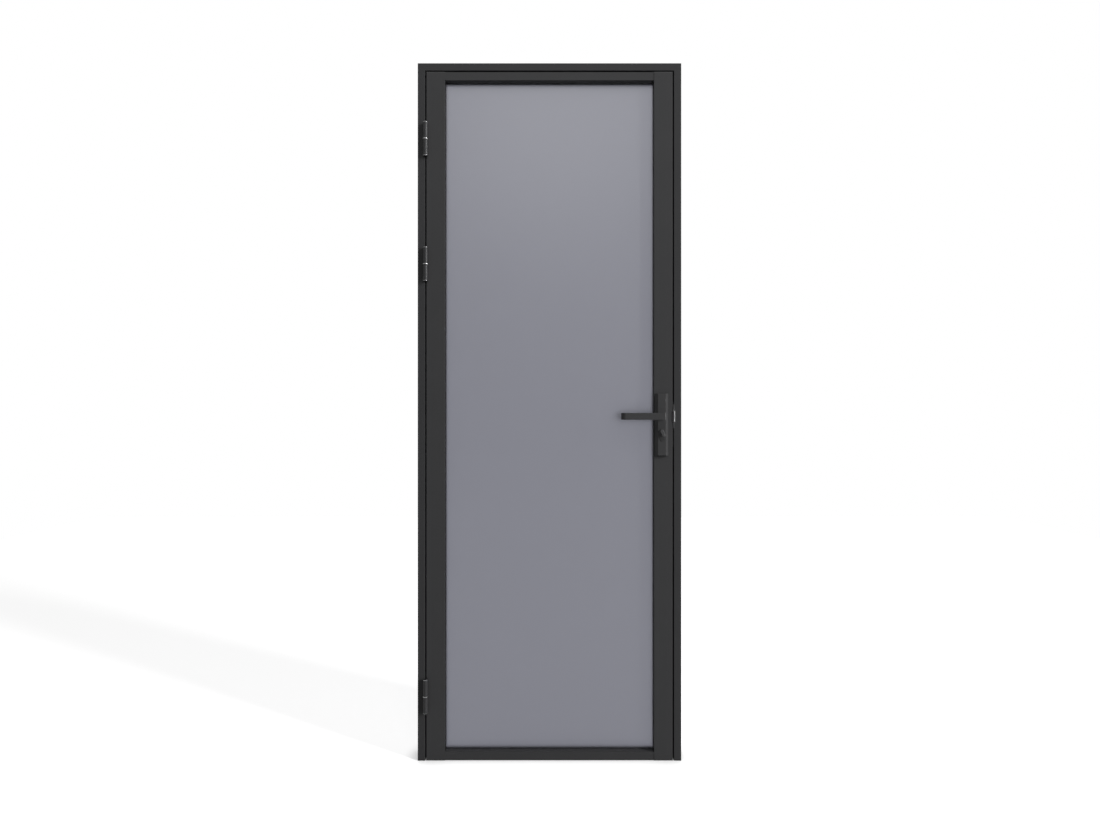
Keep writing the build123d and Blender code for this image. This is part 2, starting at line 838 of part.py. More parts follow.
forend_spread = forend_length / 2 - forend_screw_inset
forend_places = [
    Pos(forend_face, 0, plate_height_centre + side * forend_spread) * Rot(0, 90, 0) for side in (-1, 1)
]
cylinder_screw_place = Pos(forend_face, 0, cylinder_screw_z) * Rot(0, 90, 0)
cylinder_screw_length = forend_face - lock_x + cylinder_web / 2
lock_forend = forend_shape((forend_back, forend_face), 0)
lock_forend -= latch_guide
lock_forend -= bolt_guide
for place in forend_places:
    lock_forend -= place * head_hole(forend_screw_radius, forend_screw_head_radius, forend_screw_length)
lock_forend -= cylinder_screw_place * head_hole(
    cylinder_screw_radius, cylinder_screw_head_radius, cylinder_screw_length
)
small_screw = head_screw(forend_screw_radius, forend_screw_head_radius, forend_screw_length)
forend_screws = [place * small_screw for place in forend_places]
strike_screws = [place * small_screw for place in strike_screw_places]
cylinder_screw = cylinder_screw_place * head_screw(
    cylinder_screw_radius, cylinder_screw_head_radius, cylinder_screw_length
)

# Latch bolt and follower

arm_reach = latch_travel / sin(radians(lever_angle))
pin_x = lock_x + latch_travel
pin_z = lever_height + arm_reach * cos(radians(lever_angle))
latch_tip = forend_face + latch_throw
latch_heel = leaf_edge - latch_back
latch_slot = (pin_x - follower_pin_radius - loose_fit, pin_x + follower_pin_radius + follower_pin_room)
tail_low = lever_height + latch_tail_lift
tail_high = tail_low + latch_tail_height
tail_end = latch_slot[0] - latch_tine
latch_ys = about(0, latch_depth)
latch_plan = Polygon(
    (latch_heel, latch_ys[0]),
    (latch_tip, latch_ys[0]),
    (latch_tip, latch_ys[0] + latch_nose),
    (forend_face + latch_flat, latch_ys[1]),
    (latch_heel, latch_ys[1]),
    align=None,
)
latch_plan = fillet(corner(latch_plan, latch_tip, latch_ys[0] + latch_nose), latch_nose / 2)
latch_bolt = standing(latch_plan, about(lever_height, latch_height))
tail = rect((tail_end, latch_heel + latch_riser), (tail_low, tail_high))
tail += rect((latch_heel, latch_heel + latch_riser), (lever_height - latch_height / 2, tail_high))
slot_high = lever_height + arm_reach + follower_pin_radius + loose_fit
tail -= rect(latch_slot, (tail_low, slot_high))
latch_bolt += upright(tail, about(0, latch_tail_depth))

arm_start = latch_tail_depth / 2 + loose_fit
arm_ys = (arm_start, arm_start + follower_arm)
arm_line = Line((lock_x, lever_height), (pin_x, pin_z))
arm_outline = trace(arm_line, follower_arm_width) + Pos(pin_x, pin_z) * Circle(follower_arm_width / 2)
lug = rect(about(lock_x, follower_lug_width), (lever_height - follower_lug_reach, lever_height))
follower = rod_y(follower_hub_radius, lock_x, case_ys, lever_height)
follower += rod_y(follower_disc_radius, lock_x, (-follower_disc, arm_ys[1]), lever_height)
follower += upright(arm_outline, arm_ys)
follower += rod_y(follower_pin_radius, pin_x, (-latch_tail_depth / 2, arm_ys[1]), pin_z)
follower += upright(lug, about(0, spring_width))
spindle_room = spindle_side + spindle_fit * 2
follower -= block(about(lock_x, spindle_room), case_ys, about(lever_height, spindle_room))


def strip_spring(xs, zs):
    """A flat strip folded to and fro between two places, which it pushes apart."""
    step = (xs[1] - xs[0]) / 3
    low, high = (zs[0] + share * (zs[1] - zs[0]) for share in spring_fold_shares)
    folds = [(xs[0], high), (xs[0] + step, low), (xs[1] - step, high), (xs[1], low)]
    return upright(trace(Polyline(*folds), spring_strip), about(0, spring_width))


latch_spring = strip_spring((case_inner + spring_strip, tail_end - spring_strip), (tail_low, tail_high))
lug_side = lock_x + follower_lug_width / 2
lug_zs = (lever_height - follower_lug_reach * 2, lever_height - follower_disc_radius)
lever_spring = strip_spring((lug_side + spring_strip, inner_xs[1] - spring_strip), lug_zs)

# Cylinder, cam and deadbolt

cam_reach = bolt_travel / (sin(radians(cam_rest_angle)) + sin(radians(cam_turn - cam_rest_angle)))
cam_x = lock_x - cam_reach * sin(radians(cam_rest_angle))
cam_z = cylinder_height + cam_reach * cos(radians(cam_rest_angle))
cylinder_ys = (-plate_face - cylinder_proud, plate_face + cylinder_proud)
cam_gap_ys = about(0, cylinder_cam_gap)
gap_low = cylinder_height - cylinder_bridge_drop
gap_xs = about(lock_x, cylinder_radius * 2 + overrun)
cylinder_body = upright(cylinder_outline(0), cylinder_ys)
cylinder_body -= block(gap_xs, cam_gap_ys, (gap_low, cylinder_height + cylinder_radius + overrun))
cylinder_body -= rod_y(plug_radius + slip_fit, lock_x, cylinder_ys, cylinder_height)
cylinder_body -= cylinder_screw_way

key_plug = rod_y(plug_radius, lock_x, (cam_gap_ys[1], cylinder_ys[1]), cylinder_height)
key_slot_ys = (cylinder_ys[1] - key_slot_depth, cylinder_ys[1])
key_plug -= block(about(lock_x, key_slot_width), key_slot_ys, about(cylinder_height, key_slot_height))

bolt_tail_ys = about(0, bolt_tail_depth)
cam_front = cam_gap_ys[0] + loose_fit
cam_arm_ys = (bolt_tail_ys[1] + loose_fit, bolt_tail_ys[1] + loose_fit + cam_arm)
cam_line = Line((lock_x, cylinder_height), (cam_x, cam_z))
cam_outline = trace(cam_line, cam_arm_width) + Pos(cam_x, cam_z) * Circle(cam_arm_width / 2)
cam_outline += Pos(lock_x, cylinder_height) * Circle(cam_arm_width)
cylinder_cam = upright(cam_outline, cam_arm_ys)
cylinder_cam += rod_y(cam_hub_radius, lock_x, (cam_front, cam_arm_ys[1]), cylinder_height)
cylinder_cam += rod_y(cam_pin_radius, cam_x, (bolt_tail_ys[0], cam_arm_ys[1]), cam_z)

turn_foot = cylinder_ys[0] - run_gap
turn_face = turn_foot - turn_collar
turn_end = turn_face - turn_reach
thumbturn = rod_y(plug_radius, lock_x, (turn_foot, cam_front), cylinder_height)
thumbturn += rod_y(turn_collar_radius, lock_x, (turn_face, turn_foot), cylinder_height)
wing_place = Pos(lock_x, cylinder_height) * Rot(0, 0, 90 + cam_rest_angle)
wing = upright(wing_place * SlotOverall(turn_length, turn_width), (turn_end, turn_face))
wing = chamfer(wing.faces().sort_by(Axis.Y)[0].edges(), turn_edge)
thumbturn += wing

bolt_front = forend_face - bolt_sink
bolt_heel = bolt_front - bolt_length
deadbolt = block((bolt_heel, bolt_front), about(0, bolt_depth), about(cylinder_height, bolt_height))
deadbolt = chamfer(deadbolt.faces().sort_by(Axis.X)[-1].edges(), bolt_sink / 2)
cam_slot = (cam_x - cam_pin_radius - loose_fit, cam_x + cam_pin_radius + cam_lead_room)
bolt_tine_low = cylinder_height + cam_hub_radius + loose_fit
cam_slot_high = cylinder_height + cam_reach + cam_pin_radius + loose_fit
bolt_tail_high = cam_slot_high + bolt_tail_bar
bolt_tail = rect((case_inner + loose_fit, bolt_heel + bolt_riser), (bolt_tine_low, bolt_tail_high))
bolt_tail -= rect(cam_slot, (bolt_tine_low, cam_slot_high))
deadbolt += upright(bolt_tail, bolt_tail_ys)

# Backplates and levers

bush_radius = collar_radius + slip_fit + bush_wall
bush_flange_radius = bush_radius + bush_flange_rim
bolt_spread = plate_bolt_spread / 2
bolt_heights = (plate_height_centre - bolt_spread, plate_height_centre + bolt_spread)
plate_bolt_end = plate_bolt_cover - plate_face
plate_bolt_length = plate_face - plate_bolt_end
plate_bolt_places = [Pos(lock_x, plate_face, height) * Rot(-90, 0, 0) for height in bolt_heights]


def backplate():
    """The rear backplate: bevelled along its length, hollow behind, with bosses round its holes."""
    half = plate_width / 2
    flat = half - plate_bevel
    section = Polygon(
        (lock_x - half, leaf_back),
        (lock_x + half, leaf_back),
        (lock_x + half, leaf_back + plate_edge),
        (lock_x + flat, plate_face),
        (lock_x - flat, plate_face),
        (lock_x - half, leaf_back + plate_edge),
        align=None,
    )
    plate = standing(section, about(plate_height_centre, plate_length))
    ends = [edge for edge in plate.edges().filter_by(Axis.X) if edge.center().Y > plate_face - plate_edge]
    plate = chamfer(ends, plate_end_chamfer)
    pocket_zs = about(plate_height_centre, plate_length - pocket_end_wall * 2)
    pocket = rect(about(lock_x, pocket_width), pocket_zs)
    pocket -= Pos(lock_x, lever_height) * Circle(bush_flange_radius + bush_wall)
    pocket -= cylinder_outline(bush_wall)
    for height in bolt_heights:
        pocket -= Pos(lock_x, height) * Circle(plate_boss_radius)
    plate -= upright(pocket, (leaf_back, leaf_back + pocket_depth))
    plate -= rod_y(bush_radius + slip_fit, lock_x, (leaf_back, plate_face + overrun), lever_height)
    flange_ys = (leaf_back, leaf_back + bush_flange)
    plate -= rod_y(bush_flange_radius + slip_fit, lock_x, flange_ys, lever_height)
    return plate - cylinder_hole


plain_plate = backplate()
rear_backplate = plain_plate
front_backplate = mirror(plain_plate, about=mirror_y)
bolt_ways = []
for place, height in zip(plate_bolt_places, bolt_heights):
    rear_backplate -= place * head_hole(plate_bolt_radius, plate_bolt_head_radius, plate_depth)
    blind = rod_y(plate_bolt_radius + slip_fit, lock_x, (plate_bolt_end, leaf_front), height)
    front_backplate -= blind
    bolt_ways.append(rod_y(plate_bolt_radius + loose_fit, lock_x, (leaf_front, leaf_back), height))
plate_bolt = head_screw(plate_bolt_radius, plate_bolt_head_radius, plate_bolt_length)
plate_bolts = [place * plate_bolt for place in plate_bolt_places]

rear_bush = rod_y(bush_radius, lock_x, (leaf_back, plate_face), lever_height)
rear_bush += rod_y(bush_flange_radius, lock_x, (leaf_back, leaf_back + bush_flange), lever_height)
rear_bush -= rod_y(collar_radius + slip_fit, lock_x, (leaf_back, plate_face), lever_height)
front_bush = mirror(rear_bush, about=mirror_y)


def lever():
    """The rear lever: a square neck, a flat bar towards the hinges and an end bent back to the door."""
    neck_xs = about(lock_x, lever_neck_width)
    end = lock_x - lever_length
    bar_inner = lever_face - lever_bar
    foot = plate_face + loose_fit
    return_end = lever_face - lever_return
    plan = Polygon(
        (neck_xs[1], foot),
        (neck_xs[1], lever_face),
        (end, lever_face),
        (end, return_end),
        (end + lever_bar, return_end),
        (end + lever_bar, bar_inner),
        (neck_xs[0], bar_inner),
        (neck_xs[0], foot),
        align=None,
    )
    plan = fillet(corner(plan, neck_xs[1], lever_face), lever_hub_round)
    plan = fillet(corner(plan, end, lever_face), lever_end_bend)
    plan = fillet(corner(plan, end + lever_bar, bar_inner), lever_end_bend - lever_bar)
    plan = fillet(corner(plan, neck_xs[0], bar_inner), lever_neck_bend)
    plan = fillet(corner(plan, end, return_end), lever_tip_round)
    plan = fillet(corner(plan, end + lever_bar, return_end), lever_tip_round)
    bar = standing(plan, about(lever_height, lever_bar_height))
    rims = bar.faces().sort_by(Axis.Z)
    bar = chamfer(rims[0].edges() + rims[-1].edges(), lever_edge)
    bar += rod_y(collar_radius, lock_x, (leaf_back, foot), lever_height)
    socket_ys = (leaf_back, lever_face - spindle_cover)
    bar -= block(about(lock_x, spindle_room), socket_ys, about(lever_height, spindle_room))
    return bar - grub_way


grub_y = lever_face - grub_inset
grub_zs = (lever_height - lever_bar_height / 2, lever_height - spindle_side / 2)
grub_way = rod_z(grub_radius + slip_fit, lock_x, grub_y, (grub_zs[0] - overrun, lever_height))
rear_grub = rod_z(grub_radius, lock_x, grub_y, (grub_zs[0] + lever_edge, grub_zs[1]))
rear_lever = lever()
front_lever = mirror(rear_lever, about=mirror_y)
grub_screws = [mirror(rear_grub, about=mirror_y), rear_grub]
spindle_end = lever_face - spindle_cover - loose_fit
spindle = block(
    about(lock_x, spindle_side), (-spindle_end, spindle_end), about(lever_height, spindle_side)
)

# What the lock takes out of its stile
case_slot_zs = (case_low - loose_fit, case_high + loose_fit)
case_slot_xs = (leaf_edge - leaf_edge_wall - overrun, leaf_edge + overrun)
lock_stile -= forend_shape((forend_back, leaf_edge + overrun), loose_fit)
lock_stile -= block(case_slot_xs, about(0, case_depth + loose_fit * 2), case_slot_zs)
lock_stile -= rod_y(bush_radius, lock_x, (leaf_front - overrun, leaf_back + overrun), lever_height)
lock_stile -= cylinder_hole
for way in bolt_ways:
    lock_stile -= way
for place in forend_places:
    lock_stile -= place * rod_z(forend_screw_radius + slip_fit, 0, 0, (-forend_screw_length, 0))

pieces = {
    "frame_head": head_run(frame_section()),
    "frame_hinge_jamb": hinge_jamb,
    "frame_strike_jamb": strike_jamb,
    "frame_corner_cleats": [cleat, mirror(cleat, about=mirror_x)],
    "frame_seal": [seal_jamb, mirror(seal_jamb, about=mirror_x), head_run(seal_section())],
    "frame_fixing_caps": caps + [mirror(cap, about=mirror_x) for cap in caps],
    "strike_plate": strike_plate(),
    "strike_dust_box": dust_box(),
    "strike_screws": strike_screws,
    "hinge_pins": hinge_pins,
    "hinge_washers": hinge_washers,
    "hinge_upper_caps": hinge_upper_caps,
    "hinge_lower_caps": hinge_lower_caps,
    "hinge_frame_screws": hinge_frame_screws,
    "hinge_leaf_screws": hinge_leaf_screws,
    "hinge_stile": hinge_stile,
    "lock_stile": lock_stile,
    "top_rail": top_rail,
    "bottom_rail": bottom_rail,
    "rail_screws": rail_screws,
    "stile_end_caps": end_caps,
    "bead_top": bead_top,
    "bead_bottom": bead_bottom,
    "bead_hinge_side": bead_hinge_side,
    "bead_lock_side": bead_lock_side,
    "glass_pane": glass_pane,
    "front_gasket": gasket((lip_back, glass_front)),
    "rear_gasket": gasket((glass_back, bead_front)),
    "glass_setting_blocks": setting_blocks,
    "bottom_brush": bottom_brush,
    "lock_case": lock_case,
    "lock_case_cover": lock_case_cover,
    "lock_forend": lock_forend,
    "forend_screws": forend_screws,
    "latch_bolt": latch_bolt,
    "latch_spring": latch_spring,
    "follower": follower,
    "lever_spring": lever_spring,
    "cylinder_body": cylinder_body,
    "key_plug": key_plug,
    "cylinder_cam": cylinder_cam,
    "cylinder_screw": cylinder_screw,
    "thumbturn": thumbturn,
    "deadbolt": deadbolt,
    "front_backplate": front_backplate,
    "rear_backplate": rear_backplate,
    "plate_bolts": plate_bolts,
    "front_lever_bush": front_bush,
    "rear_lever_bush": rear_bush,
    "front_lever": front_lever,
    "rear_lever": rear_lever,
    "spindle": spindle,
    "lever_grub_screws": grub_screws,
}
for name in hinge_heights:
    pieces[f"hinge_{name}_frame_half"] = hinge_frame_halves[name]
    pieces[f"hinge_{name}_leaf_half"] = hinge_leaf_halves[name]

os.makedirs("parts", exist_ok=True)
for name, piece in pieces.items():
    solids = piece if isinstance(piece, list) else [piece]
    export_step(Compound([solid for part in solids for solid in part.solids()]), f"parts/{name}.step")
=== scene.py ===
import json
import math

import bpy
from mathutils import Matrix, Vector


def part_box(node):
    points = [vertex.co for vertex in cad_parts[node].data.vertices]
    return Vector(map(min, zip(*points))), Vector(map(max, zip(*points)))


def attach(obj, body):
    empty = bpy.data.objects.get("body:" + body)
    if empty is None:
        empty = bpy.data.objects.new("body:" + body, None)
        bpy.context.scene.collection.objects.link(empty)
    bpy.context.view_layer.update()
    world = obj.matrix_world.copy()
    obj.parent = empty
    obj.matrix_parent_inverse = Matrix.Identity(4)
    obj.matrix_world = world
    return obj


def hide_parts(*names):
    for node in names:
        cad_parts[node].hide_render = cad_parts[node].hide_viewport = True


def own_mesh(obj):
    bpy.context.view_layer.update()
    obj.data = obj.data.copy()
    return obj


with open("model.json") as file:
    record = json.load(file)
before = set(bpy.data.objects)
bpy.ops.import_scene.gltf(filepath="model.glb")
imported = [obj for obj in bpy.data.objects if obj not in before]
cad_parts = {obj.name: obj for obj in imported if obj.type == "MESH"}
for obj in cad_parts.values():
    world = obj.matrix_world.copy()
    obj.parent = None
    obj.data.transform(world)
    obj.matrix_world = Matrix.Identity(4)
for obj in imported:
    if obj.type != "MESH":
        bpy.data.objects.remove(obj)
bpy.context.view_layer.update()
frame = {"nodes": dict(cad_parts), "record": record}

nodes = frame["nodes"]
scene = bpy.context.scene
slot_of = {part["node"]: part["material_slot"] for part in frame["record"]["subparts"]}

# Camera, in metres: the photograph's scale at the leaf's front face and the point at its middle
photo_width_px = 1100
metres_per_px = 0.003005
camera_distance = 1.95
camera_x = 0.0015
camera_z = 1.0478
sensor_mm = 36.0

# Lamps, in metres and watts
light_aim = Vector((0.0, 0.0, 1.05))
key_distance = 13.0
key_azimuth = math.radians(62)
key_elevation = math.radians(18)
key_width = 1.6
key_height = 9.0
key_watts = 2700.0
overhead_place = Vector((0.0, -3.0, 3.4))
overhead_width = 2.4
overhead_height = 1.6
overhead_watts = 34.0

# Surround and floor: a strength of 1 is white, and lengths are in metres
white = (1.0, 1.0, 1.0, 1.0)
white_strength = 1.0
front_ambient = 0.11
rear_ambient = 1.2
floor_half = 4.5
floor_grey = (0.5, 0.5, 0.5, 1.0)
floor_lift = (0.74, 0.74, 0.74, 1.0)
# How far the floor's painted contact shade reaches
contact_reach = 0.05

# Patterns: how many finer layers the noise has, and how far edges are eased, in metres
cloud_detail = 2.0
line_detail = 3.0
pore_detail = 4.0
edge_round = 0.0004
edge_samples = 4

# Powder paint, in metres, with black painted shade on the stiles' reveals beside the glass
paint_cloud = 0.12
paint_shade_share = 0.05
paint_gloss_spread = 0.06
peel_depth_share = 0.12
painted_shade_black = (0.006, 0.006, 0.006)
painted_shade_depth = 0.0002
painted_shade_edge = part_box("lock_stile")[0].x + painted_shade_depth

# Brushed metal
lines_per_spot = 20
metal_shade_share = 0.06
metal_gloss_spread = 0.07
line_depth_share = 0.08

# Moulded plastic and rubber
moulded_specular = 0.35
moulded_shade_share = 0.15
moulded_gloss_spread = 0.08
pore_depth_share = 0.15

# Glass, in metres
glass_ior = 1.6
glass_transmission = 0.98
glass_specular = 1.0
glass_roughness = 0.42
glass_gloss_spread = 0.04
glass_cloud = 0.35
glass_shade_share = 0.015
etch_size = 0.0006
etch_depth = 0.00003

# Brush pile, in metres
pile_roughness = 0.8
pile_sheen = 0.4
strand_width = 0.0005
strand_stretch = (1, 1, 30)
strand_depth = 0.0003
strand_shade_share = 0.6

# Strike, in metres: a painted highlight on its lip at the lever's height, from its left edge inwards, and
# painted shade on the rest of the plate
strike_roughness = 0.32
strike_gloss_spread = 0.08
scratch_width = 0.0004
scratch_stretch = (1, 1, 20)
scratch_depth = 0.00003
highlight_half_height = 0.0165
highlight_depth = 0.003
highlight_middle = (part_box("spindle")[0].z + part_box("spindle")[1].z) / 2
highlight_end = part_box("strike_plate")[0].x + highlight_depth

# Springs: the joint each gives way to, the axis and the end of its box it gives towards, and the share left
springs = {
    "latch_spring": ("latch_slide", (1, 0, 0), 0, 0.09),
    "lever_spring": ("lever_turn", (0, 0, 1), 0, 0.94),
}

# Sockets of a colour mix by number, because several have the same name
mix_factor = 0
mix_dark = 6
mix_light = 7
mix_colour = 2


# Building blocks of the materials and the stage

class Tree:
    """The node tree of a material or of the surround, being built."""

    def __init__(self, owner):
        owner.use_nodes = True
        self.nodes = owner.node_tree.nodes
        self.links = owner.node_tree.links

    def add(self, kind, **settings):
        node = self.nodes.new(kind)
        for name, value in settings.items():
            setattr(node, name, value)
        return node

    def put(self, value, socket):
        """Links a pattern to a socket, or sets the socket to a plain value."""
        if isinstance(value, bpy.types.NodeSocket):
            self.links.new(value, socket)
        else:
            socket.default_value = value

    def feed(self, node, **inputs):
        """Fills a node's sockets by name, with an underscore for each space."""
        for name, value in inputs.items():
            self.put(value, node.inputs[name.replace("_", " ")])
        return node

    def fill(self, node, *values):
        """Fills a node's sockets in their order."""
        for value, socket in zip(values, node.inputs):
            self.put(value, socket)
        return node

    def math(self, operation, *values):
        """One sum on patterns and numbers."""
        return self.fill(self.add("ShaderNodeMath", operation=operation), *values).outputs["Value"]

    def along(self, axis, place):
        """How far along one axis a place lies."""
        return self.feed(self.add("ShaderNodeSeparateXYZ"), Vector=place).outputs[axis]

    def between(self, factor, low, high):
        """A number that runs from low to high with a pattern."""
        made = self.feed(self.add("ShaderNodeMapRange"), Value=factor, To_Min=low, To_Max=high)
        return made.outputs["Result"]

    def seen_directly(self):
        """1 for what the camera, a mirror or glass sees, and 0 for light that falls on a matt surface."""
        ray = self.add("ShaderNodeLightPath").outputs
        mirrored = self.math("MAXIMUM", ray["Is Camera Ray"], ray["Is Glossy Ray"])
        return self.math("MAXIMUM", mirrored, ray["Is Transmission Ray"])


class Look(Tree):
    """A material being built: one shader, fed by patterns laid out in the part's own metres."""

    def __init__(self, name, **values):
        self.material = bpy.data.materials.new(name)
        super().__init__(self.material)
        self.shader = self.nodes["Principled BSDF"]
        self.surface(**values)
        self.place = self.add("ShaderNodeTexCoord").outputs["Object"]

    def surface(self, **inputs):
        """Fills the shader's sockets by name."""
        self.feed(self.shader, **inputs)

    def noise(self, size, stretch=(1, 1, 1), detail=cloud_detail):
        """Cloudy noise with spots of a size, drawn out along an axis by its stretch."""
        scale = tuple(1 / (size * s) for s in stretch)
        spread = self.feed(self.add("ShaderNodeMapping"), Vector=self.place, Scale=scale)
        made = self.add("ShaderNodeTexNoise")
        self.feed(made, Vector=spread.outputs["Vector"], Scale=1.0, Detail=detail)
        return made.outputs["Fac"]

    def around(self, factor, middle, spread):
        """A number that strays from a middle value to both sides with a pattern."""
        return self.between(factor, middle - spread, middle + spread)

    def tint(self, factor, dark, light):
        """A colour that runs from dark to light with a pattern."""
        made = self.add("ShaderNodeMix", data_type="RGBA")
        self.put(factor, made.inputs[mix_factor])
        self.put(dark, made.inputs[mix_dark])
        self.put(light, made.inputs[mix_light])
        return made.outputs[mix_colour]

    def clouded(self, factor, colour, share):
        """A colour that turns a little darker and lighter with a pattern."""
        return self.tint(factor, opaque(colour, 1 - share), opaque(colour, 1 + share))

    def relief(self, height, depth):
        """Raises the surface by a pattern, over edges that are eased a little."""
        eased = self.feed(self.add("ShaderNodeBevel", samples=edge_samples), Radius=edge_round)
        made = self.add("ShaderNodeBump")
        self.feed(made, Height=height, Distance=depth, Normal=eased.outputs["Normal"])
        self.surface(Normal=made.outputs["Normal"])


def opaque(colour, level=1.0):
    """A colour at a level of brightness, as a socket takes it."""
    return (*(c * level for c in colour), 1.0)


# Materials

def powder_coat(name, colour, grain, roughness, specular, shade_painted_to=None):
    """Baked powder paint with a fine orange-peel grain, and black painted shade on the reveals nearer the
    door's middle than the given edge.
    """
    look = Look(name, Specular_IOR_Level=specular)
    peel = look.noise(grain, detail=line_detail)
    paint = look.clouded(look.noise(paint_cloud), colour, paint_shade_share)
    # Painted shade: the stiles' reveals beside the glass are painted black, standing in for the shade in
    # that recess.
    if shade_painted_to:
        off_middle = look.math("ABSOLUTE", look.along("X", look.place))
        paint = look.tint(look.math("LESS_THAN", off_middle, shade_painted_to), paint, opaque(painted_shade_black))
    look.surface(Base_Color=paint, Roughness=look.around(peel, roughness, paint_gloss_spread))
    look.relief(peel, grain * peel_depth_share)
    return look.material


def brushed_metal(name, colour, roughness, stretch, line):
    """Bare metal with fine lines drawn out along one axis."""
    look = Look(name, Metallic=1.0)
    lines = look.noise(line, stretch, line_detail)
    spots = look.noise(line * lines_per_spot)
    look.surface(
        Base_Color=look.clouded(spots, colour, metal_shade_share),
        Roughness=look.around(lines, roughness, metal_gloss_spread),
    )
    look.relief(lines, line * line_depth_share)
    return look.material


def moulded(name, colour, grain, roughness):
    """Moulded plastic or rubber with an even fine grain."""
    look = Look(name, Specular_IOR_Level=moulded_specular)
    pores = look.noise(grain, detail=pore_detail)
    look.surface(
        Base_Color=look.clouded(pores, colour, moulded_shade_share),
        Roughness=look.around(pores, roughness, moulded_gloss_spread),
    )
    look.relief(pores, grain * pore_depth_share)
    return look.material


def satin_glass(name, colour):
    """Grey glass with an etched, satin face."""
    look = Look(
        name, IOR=glass_ior, Transmission_Weight=glass_transmission, Specular_IOR_Level=glass_specular
    )
    etch = look.noise(etch_size, detail=pore_detail)
    look.surface(
        Base_Color=look.clouded(look.noise(glass_cloud), colour, glass_shade_share),
        Roughness=look.around(etch, glass_roughness, glass_gloss_spread),
    )
    look.relief(etch, etch_depth)
    return look.material


def fibre(name, colour):
    """Brush pile: fine upright strands."""
    look = Look(name, Roughness=pile_roughness, Sheen_Weight=pile_sheen)
    strands = look.noise(strand_width, strand_stretch, line_detail)
    look.surface(Base_Color=look.clouded(strands, colour, strand_shade_share))
    look.relief(strands, strand_depth)
    return look.material


def steel_with_painted_light(name, painted_shade_colour, painted_highlight_colour):
    """Steel painted dark all over as painted shade, with a painted highlight along the lip at the lever's
    height.
    """
    look = Look(name, Metallic=1.0)
    at_height = look.math("COMPARE", look.along("Z", look.place), highlight_middle, highlight_half_height)
    at_edge = look.math("LESS_THAN", look.along("X", look.place), highlight_end)
    scratches = look.noise(scratch_width, scratch_stretch, line_detail)
    look.surface(
        # Painted light: a bright colour on the lip as a painted highlight, and a dark one elsewhere as
        # painted shade.
        Base_Color=look.tint(look.math("MULTIPLY", at_height, at_edge), opaque(painted_shade_colour), opaque(painted_highlight_colour)),
        Roughness=look.around(scratches, strike_roughness, strike_gloss_spread),
    )
    look.relief(scratches, scratch_depth)
    return look.material


# What each slot of the record looks like, and the nodes that differ from their slot

profile_paint = dict(colour=(0.032, 0.032, 0.033), grain=0.0007, roughness=0.46, specular=0.06)
slot_looks = {
    "profile_coat": powder_coat("profile_powder_coat", **profile_paint),
    "hinge_coat": powder_coat(
        "hinge_powder_coat", colour=(0.029, 0.029, 0.03), grain=0.0005, roughness=0.24, specular=0.08
    ),
    "handle_coat": powder_coat(
        "handle_satin_coat", colour=(0.032, 0.032, 0.033), grain=0.0004, roughness=0.2, specular=0.1
    ),
    "bright_steel": brushed_metal(
        "bright_brushed_steel", colour=(0.38, 0.38, 0.385), roughness=0.3, stretch=(1, 1, 40), line=0.0004
    ),
    "zinc_steel": brushed_metal(
        "zinc_plated_steel", colour=(0.5, 0.51, 0.53), roughness=0.36, stretch=(1, 1, 3), line=0.0006
    ),
    "spring_steel": brushed_metal(
        "spring_steel", colour=(0.38, 0.39, 0.41), roughness=0.3, stretch=(1, 1, 20), line=0.0003
    ),
    "bare_aluminium": brushed_metal(
        "mill_aluminium", colour=(0.7, 0.71, 0.72), roughness=0.38, stretch=(1, 30, 1), line=0.0005
    ),
    "black_nickel": brushed_metal(
        "black_nickel", colour=(0.03, 0.03, 0.03), roughness=0.4, stretch=(1, 1, 12), line=0.0004
    ),
    "satin_glass": satin_glass("satin_grey_glass", colour=(0.195, 0.199, 0.239)),
    "black_rubber": moulded("black_rubber", colour=(0.014, 0.014, 0.015), grain=0.0005, roughness=0.7),
    "black_plastic": moulded("black_plastic", colour=(0.02, 0.02, 0.021), grain=0.0006, roughness=0.5),
    "brush_fibre": fibre("brush_pile", colour=(0.02, 0.02, 0.021)),
}

# Painted shade: the frame takes a darker copy of the profile paint, standing in for the shade on the jambs
# and head.
frame_coat_painted_shade = powder_coat(
    "frame_powder_coat_painted_shade", colour=(0.0285, 0.0285, 0.0295), grain=0.0007, roughness=0.46, specular=0.05
)
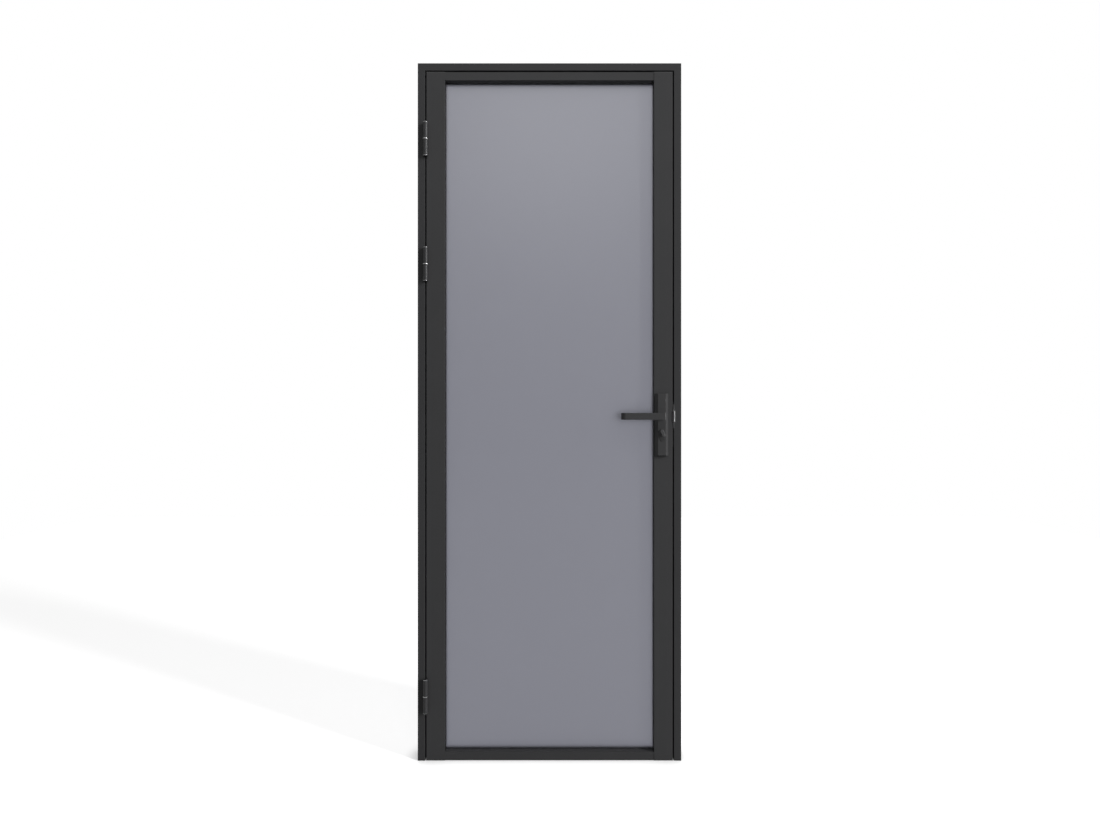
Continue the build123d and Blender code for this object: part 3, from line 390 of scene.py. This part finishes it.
# Painted shade: the stiles' paint turns black on the reveals beside the glass.
stile_coat_painted_shade = powder_coat("stile_powder_coat_painted_shade", **profile_paint, shade_painted_to=painted_shade_edge)
lever_coat = powder_coat(
    "lever_satin_coat", colour=(0.03, 0.03, 0.031), grain=0.0004, roughness=0.24, specular=0.14
)
turn_coat = powder_coat(
    "thumbturn_satin_coat", colour=(0.032, 0.032, 0.033), grain=0.0004, roughness=0.28, specular=0.24
)
hinge_brushing = dict(roughness=0.34, stretch=(1, 1, 3), line=0.0004)
node_looks = {
    "frame_head": frame_coat_painted_shade,
    "frame_hinge_jamb": frame_coat_painted_shade,
    "frame_strike_jamb": frame_coat_painted_shade,
    "hinge_stile": stile_coat_painted_shade,
    "lock_stile": stile_coat_painted_shade,
    "hinge_washers": brushed_metal("washer_steel", colour=(0.22, 0.22, 0.222), **hinge_brushing),
    "hinge_upper_caps": brushed_metal("upper_cap_steel", colour=(0.16, 0.16, 0.162), **hinge_brushing),
    # Painted shade: the lower caps take a darker copy of the caps' steel.
    "hinge_lower_caps": brushed_metal("lower_cap_steel_painted_shade", colour=(0.11, 0.11, 0.112), **hinge_brushing),
    # Painted light on the strike: painted shade on the plate, and a painted highlight on its lip.
    "strike_plate": steel_with_painted_light("strike_steel_painted_light", painted_shade_colour=(0.1, 0.1, 0.102), painted_highlight_colour=(0.8, 0.8, 0.81)),
    "front_lever": lever_coat,
    "rear_lever": lever_coat,
    "thumbturn": turn_coat,
}
for name, node in nodes.items():
    for slot in node.material_slots:
        slot.material = node_looks.get(name, slot_looks[slot_of[name]])


def springy(name, joint, axis, fixed_end, share_left):
    """A copy of a spring's mesh that moves with the leaf, in place of the stiff solid, which is hidden."""
    spring = bpy.data.objects.new(name + "_strip", nodes[name].data.copy())
    scene.collection.objects.link(spring)
    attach(spring, "leaf")
    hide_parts(name)
    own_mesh(spring)


for name, motion in springs.items():
    springy(name, *motion)


# Stage: floor, white surround, soft lights and the camera

def surround():
    """A white surround that lights the part only softly, and more so from behind."""
    scene.world = bpy.data.worlds.new("white_surround")
    tree = Tree(scene.world)
    direction = tree.add("ShaderNodeTexCoord").outputs["Generated"]
    ambient = tree.between(tree.along("Y", direction), front_ambient, rear_ambient)
    strength = tree.between(tree.seen_directly(), ambient, white_strength)
    tree.feed(tree.nodes["Background"], Color=white, Strength=strength)


def floor_paint():
    """A pale paint that looks white, with faint shadows and painted contact shade where something stands
    close, and plain white behind glass.
    """
    paint = bpy.data.materials.new("pale_floor")
    tree = Tree(paint)
    tree.nodes.remove(tree.nodes["Principled BSDF"])
    matt = tree.feed(tree.add("ShaderNodeBsdfDiffuse"), Color=floor_grey).outputs["BSDF"]
    # Painted shade: the floor's lift dims close to anything that touches it, as a contact shadow.
    open_to_light = tree.add("ShaderNodeAmbientOcclusion")
    tree.feed(open_to_light, Distance=contact_reach, Color=floor_lift)
    lift = tree.add("ShaderNodeEmission")
    tree.feed(lift, Color=open_to_light.outputs["Color"], Strength=tree.seen_directly())
    lifted = tree.fill(tree.add("ShaderNodeAddShader"), matt, lift.outputs["Emission"]).outputs["Shader"]
    plain = tree.feed(tree.add("ShaderNodeEmission"), Strength=white_strength).outputs["Emission"]
    behind_glass = tree.add("ShaderNodeLightPath").outputs["Is Transmission Ray"]
    seen = tree.fill(tree.add("ShaderNodeMixShader"), behind_glass, lifted, plain)
    tree.feed(tree.nodes["Material Output"], Surface=seen.outputs["Shader"])
    return paint


def floor():
    """A square floor under the part."""
    mesh = bpy.data.meshes.new("floor")
    corners = [(-1, -1), (1, -1), (1, 1), (-1, 1)]
    mesh.from_pydata([(x * floor_half, y * floor_half, 0.0) for x, y in corners], [], [(0, 1, 2, 3)])
    mesh.materials.append(floor_paint())
    plane = bpy.data.objects.new("floor", mesh)
    scene.collection.objects.link(plane)


def soft_light(name, place, width, height, watts):
    """A lamp with a broad face, turned to the middle of the door."""
    lamp = bpy.data.lights.new(name, "AREA")
    lamp.shape = "ELLIPSE"
    lamp.size = width
    lamp.size_y = height
    lamp.energy = watts
    light = bpy.data.objects.new(name, lamp)
    light.location = place
    light.rotation_euler = (light_aim - place).to_track_quat("-Z", "Y").to_euler()
    scene.collection.objects.link(light)


def key_place():
    """Where the key light stands: in front, to the right and above."""
    level = math.cos(key_elevation) * key_distance
    height = math.sin(key_elevation) * key_distance
    return light_aim + Vector((math.sin(key_azimuth) * level, -math.cos(key_azimuth) * level, height))


def camera():
    """Level, square to the door, with the photograph's field of view."""
    lens = bpy.data.cameras.new("camera")
    lens.sensor_width = sensor_mm
    lens.lens = sensor_mm * camera_distance / (photo_width_px * metres_per_px)
    eye = bpy.data.objects.new("camera", lens)
    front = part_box("hinge_stile")[0].y
    eye.location = (camera_x, front - camera_distance, camera_z)
    eye.rotation_euler = (math.radians(90), 0.0, 0.0)
    scene.collection.objects.link(eye)
    scene.camera = eye


surround()
floor()
soft_light("key", key_place(), key_width, key_height, key_watts)
soft_light("overhead", overhead_place, overhead_width, overhead_height, overhead_watts)
camera()
scene.view_settings.view_transform = "Standard"
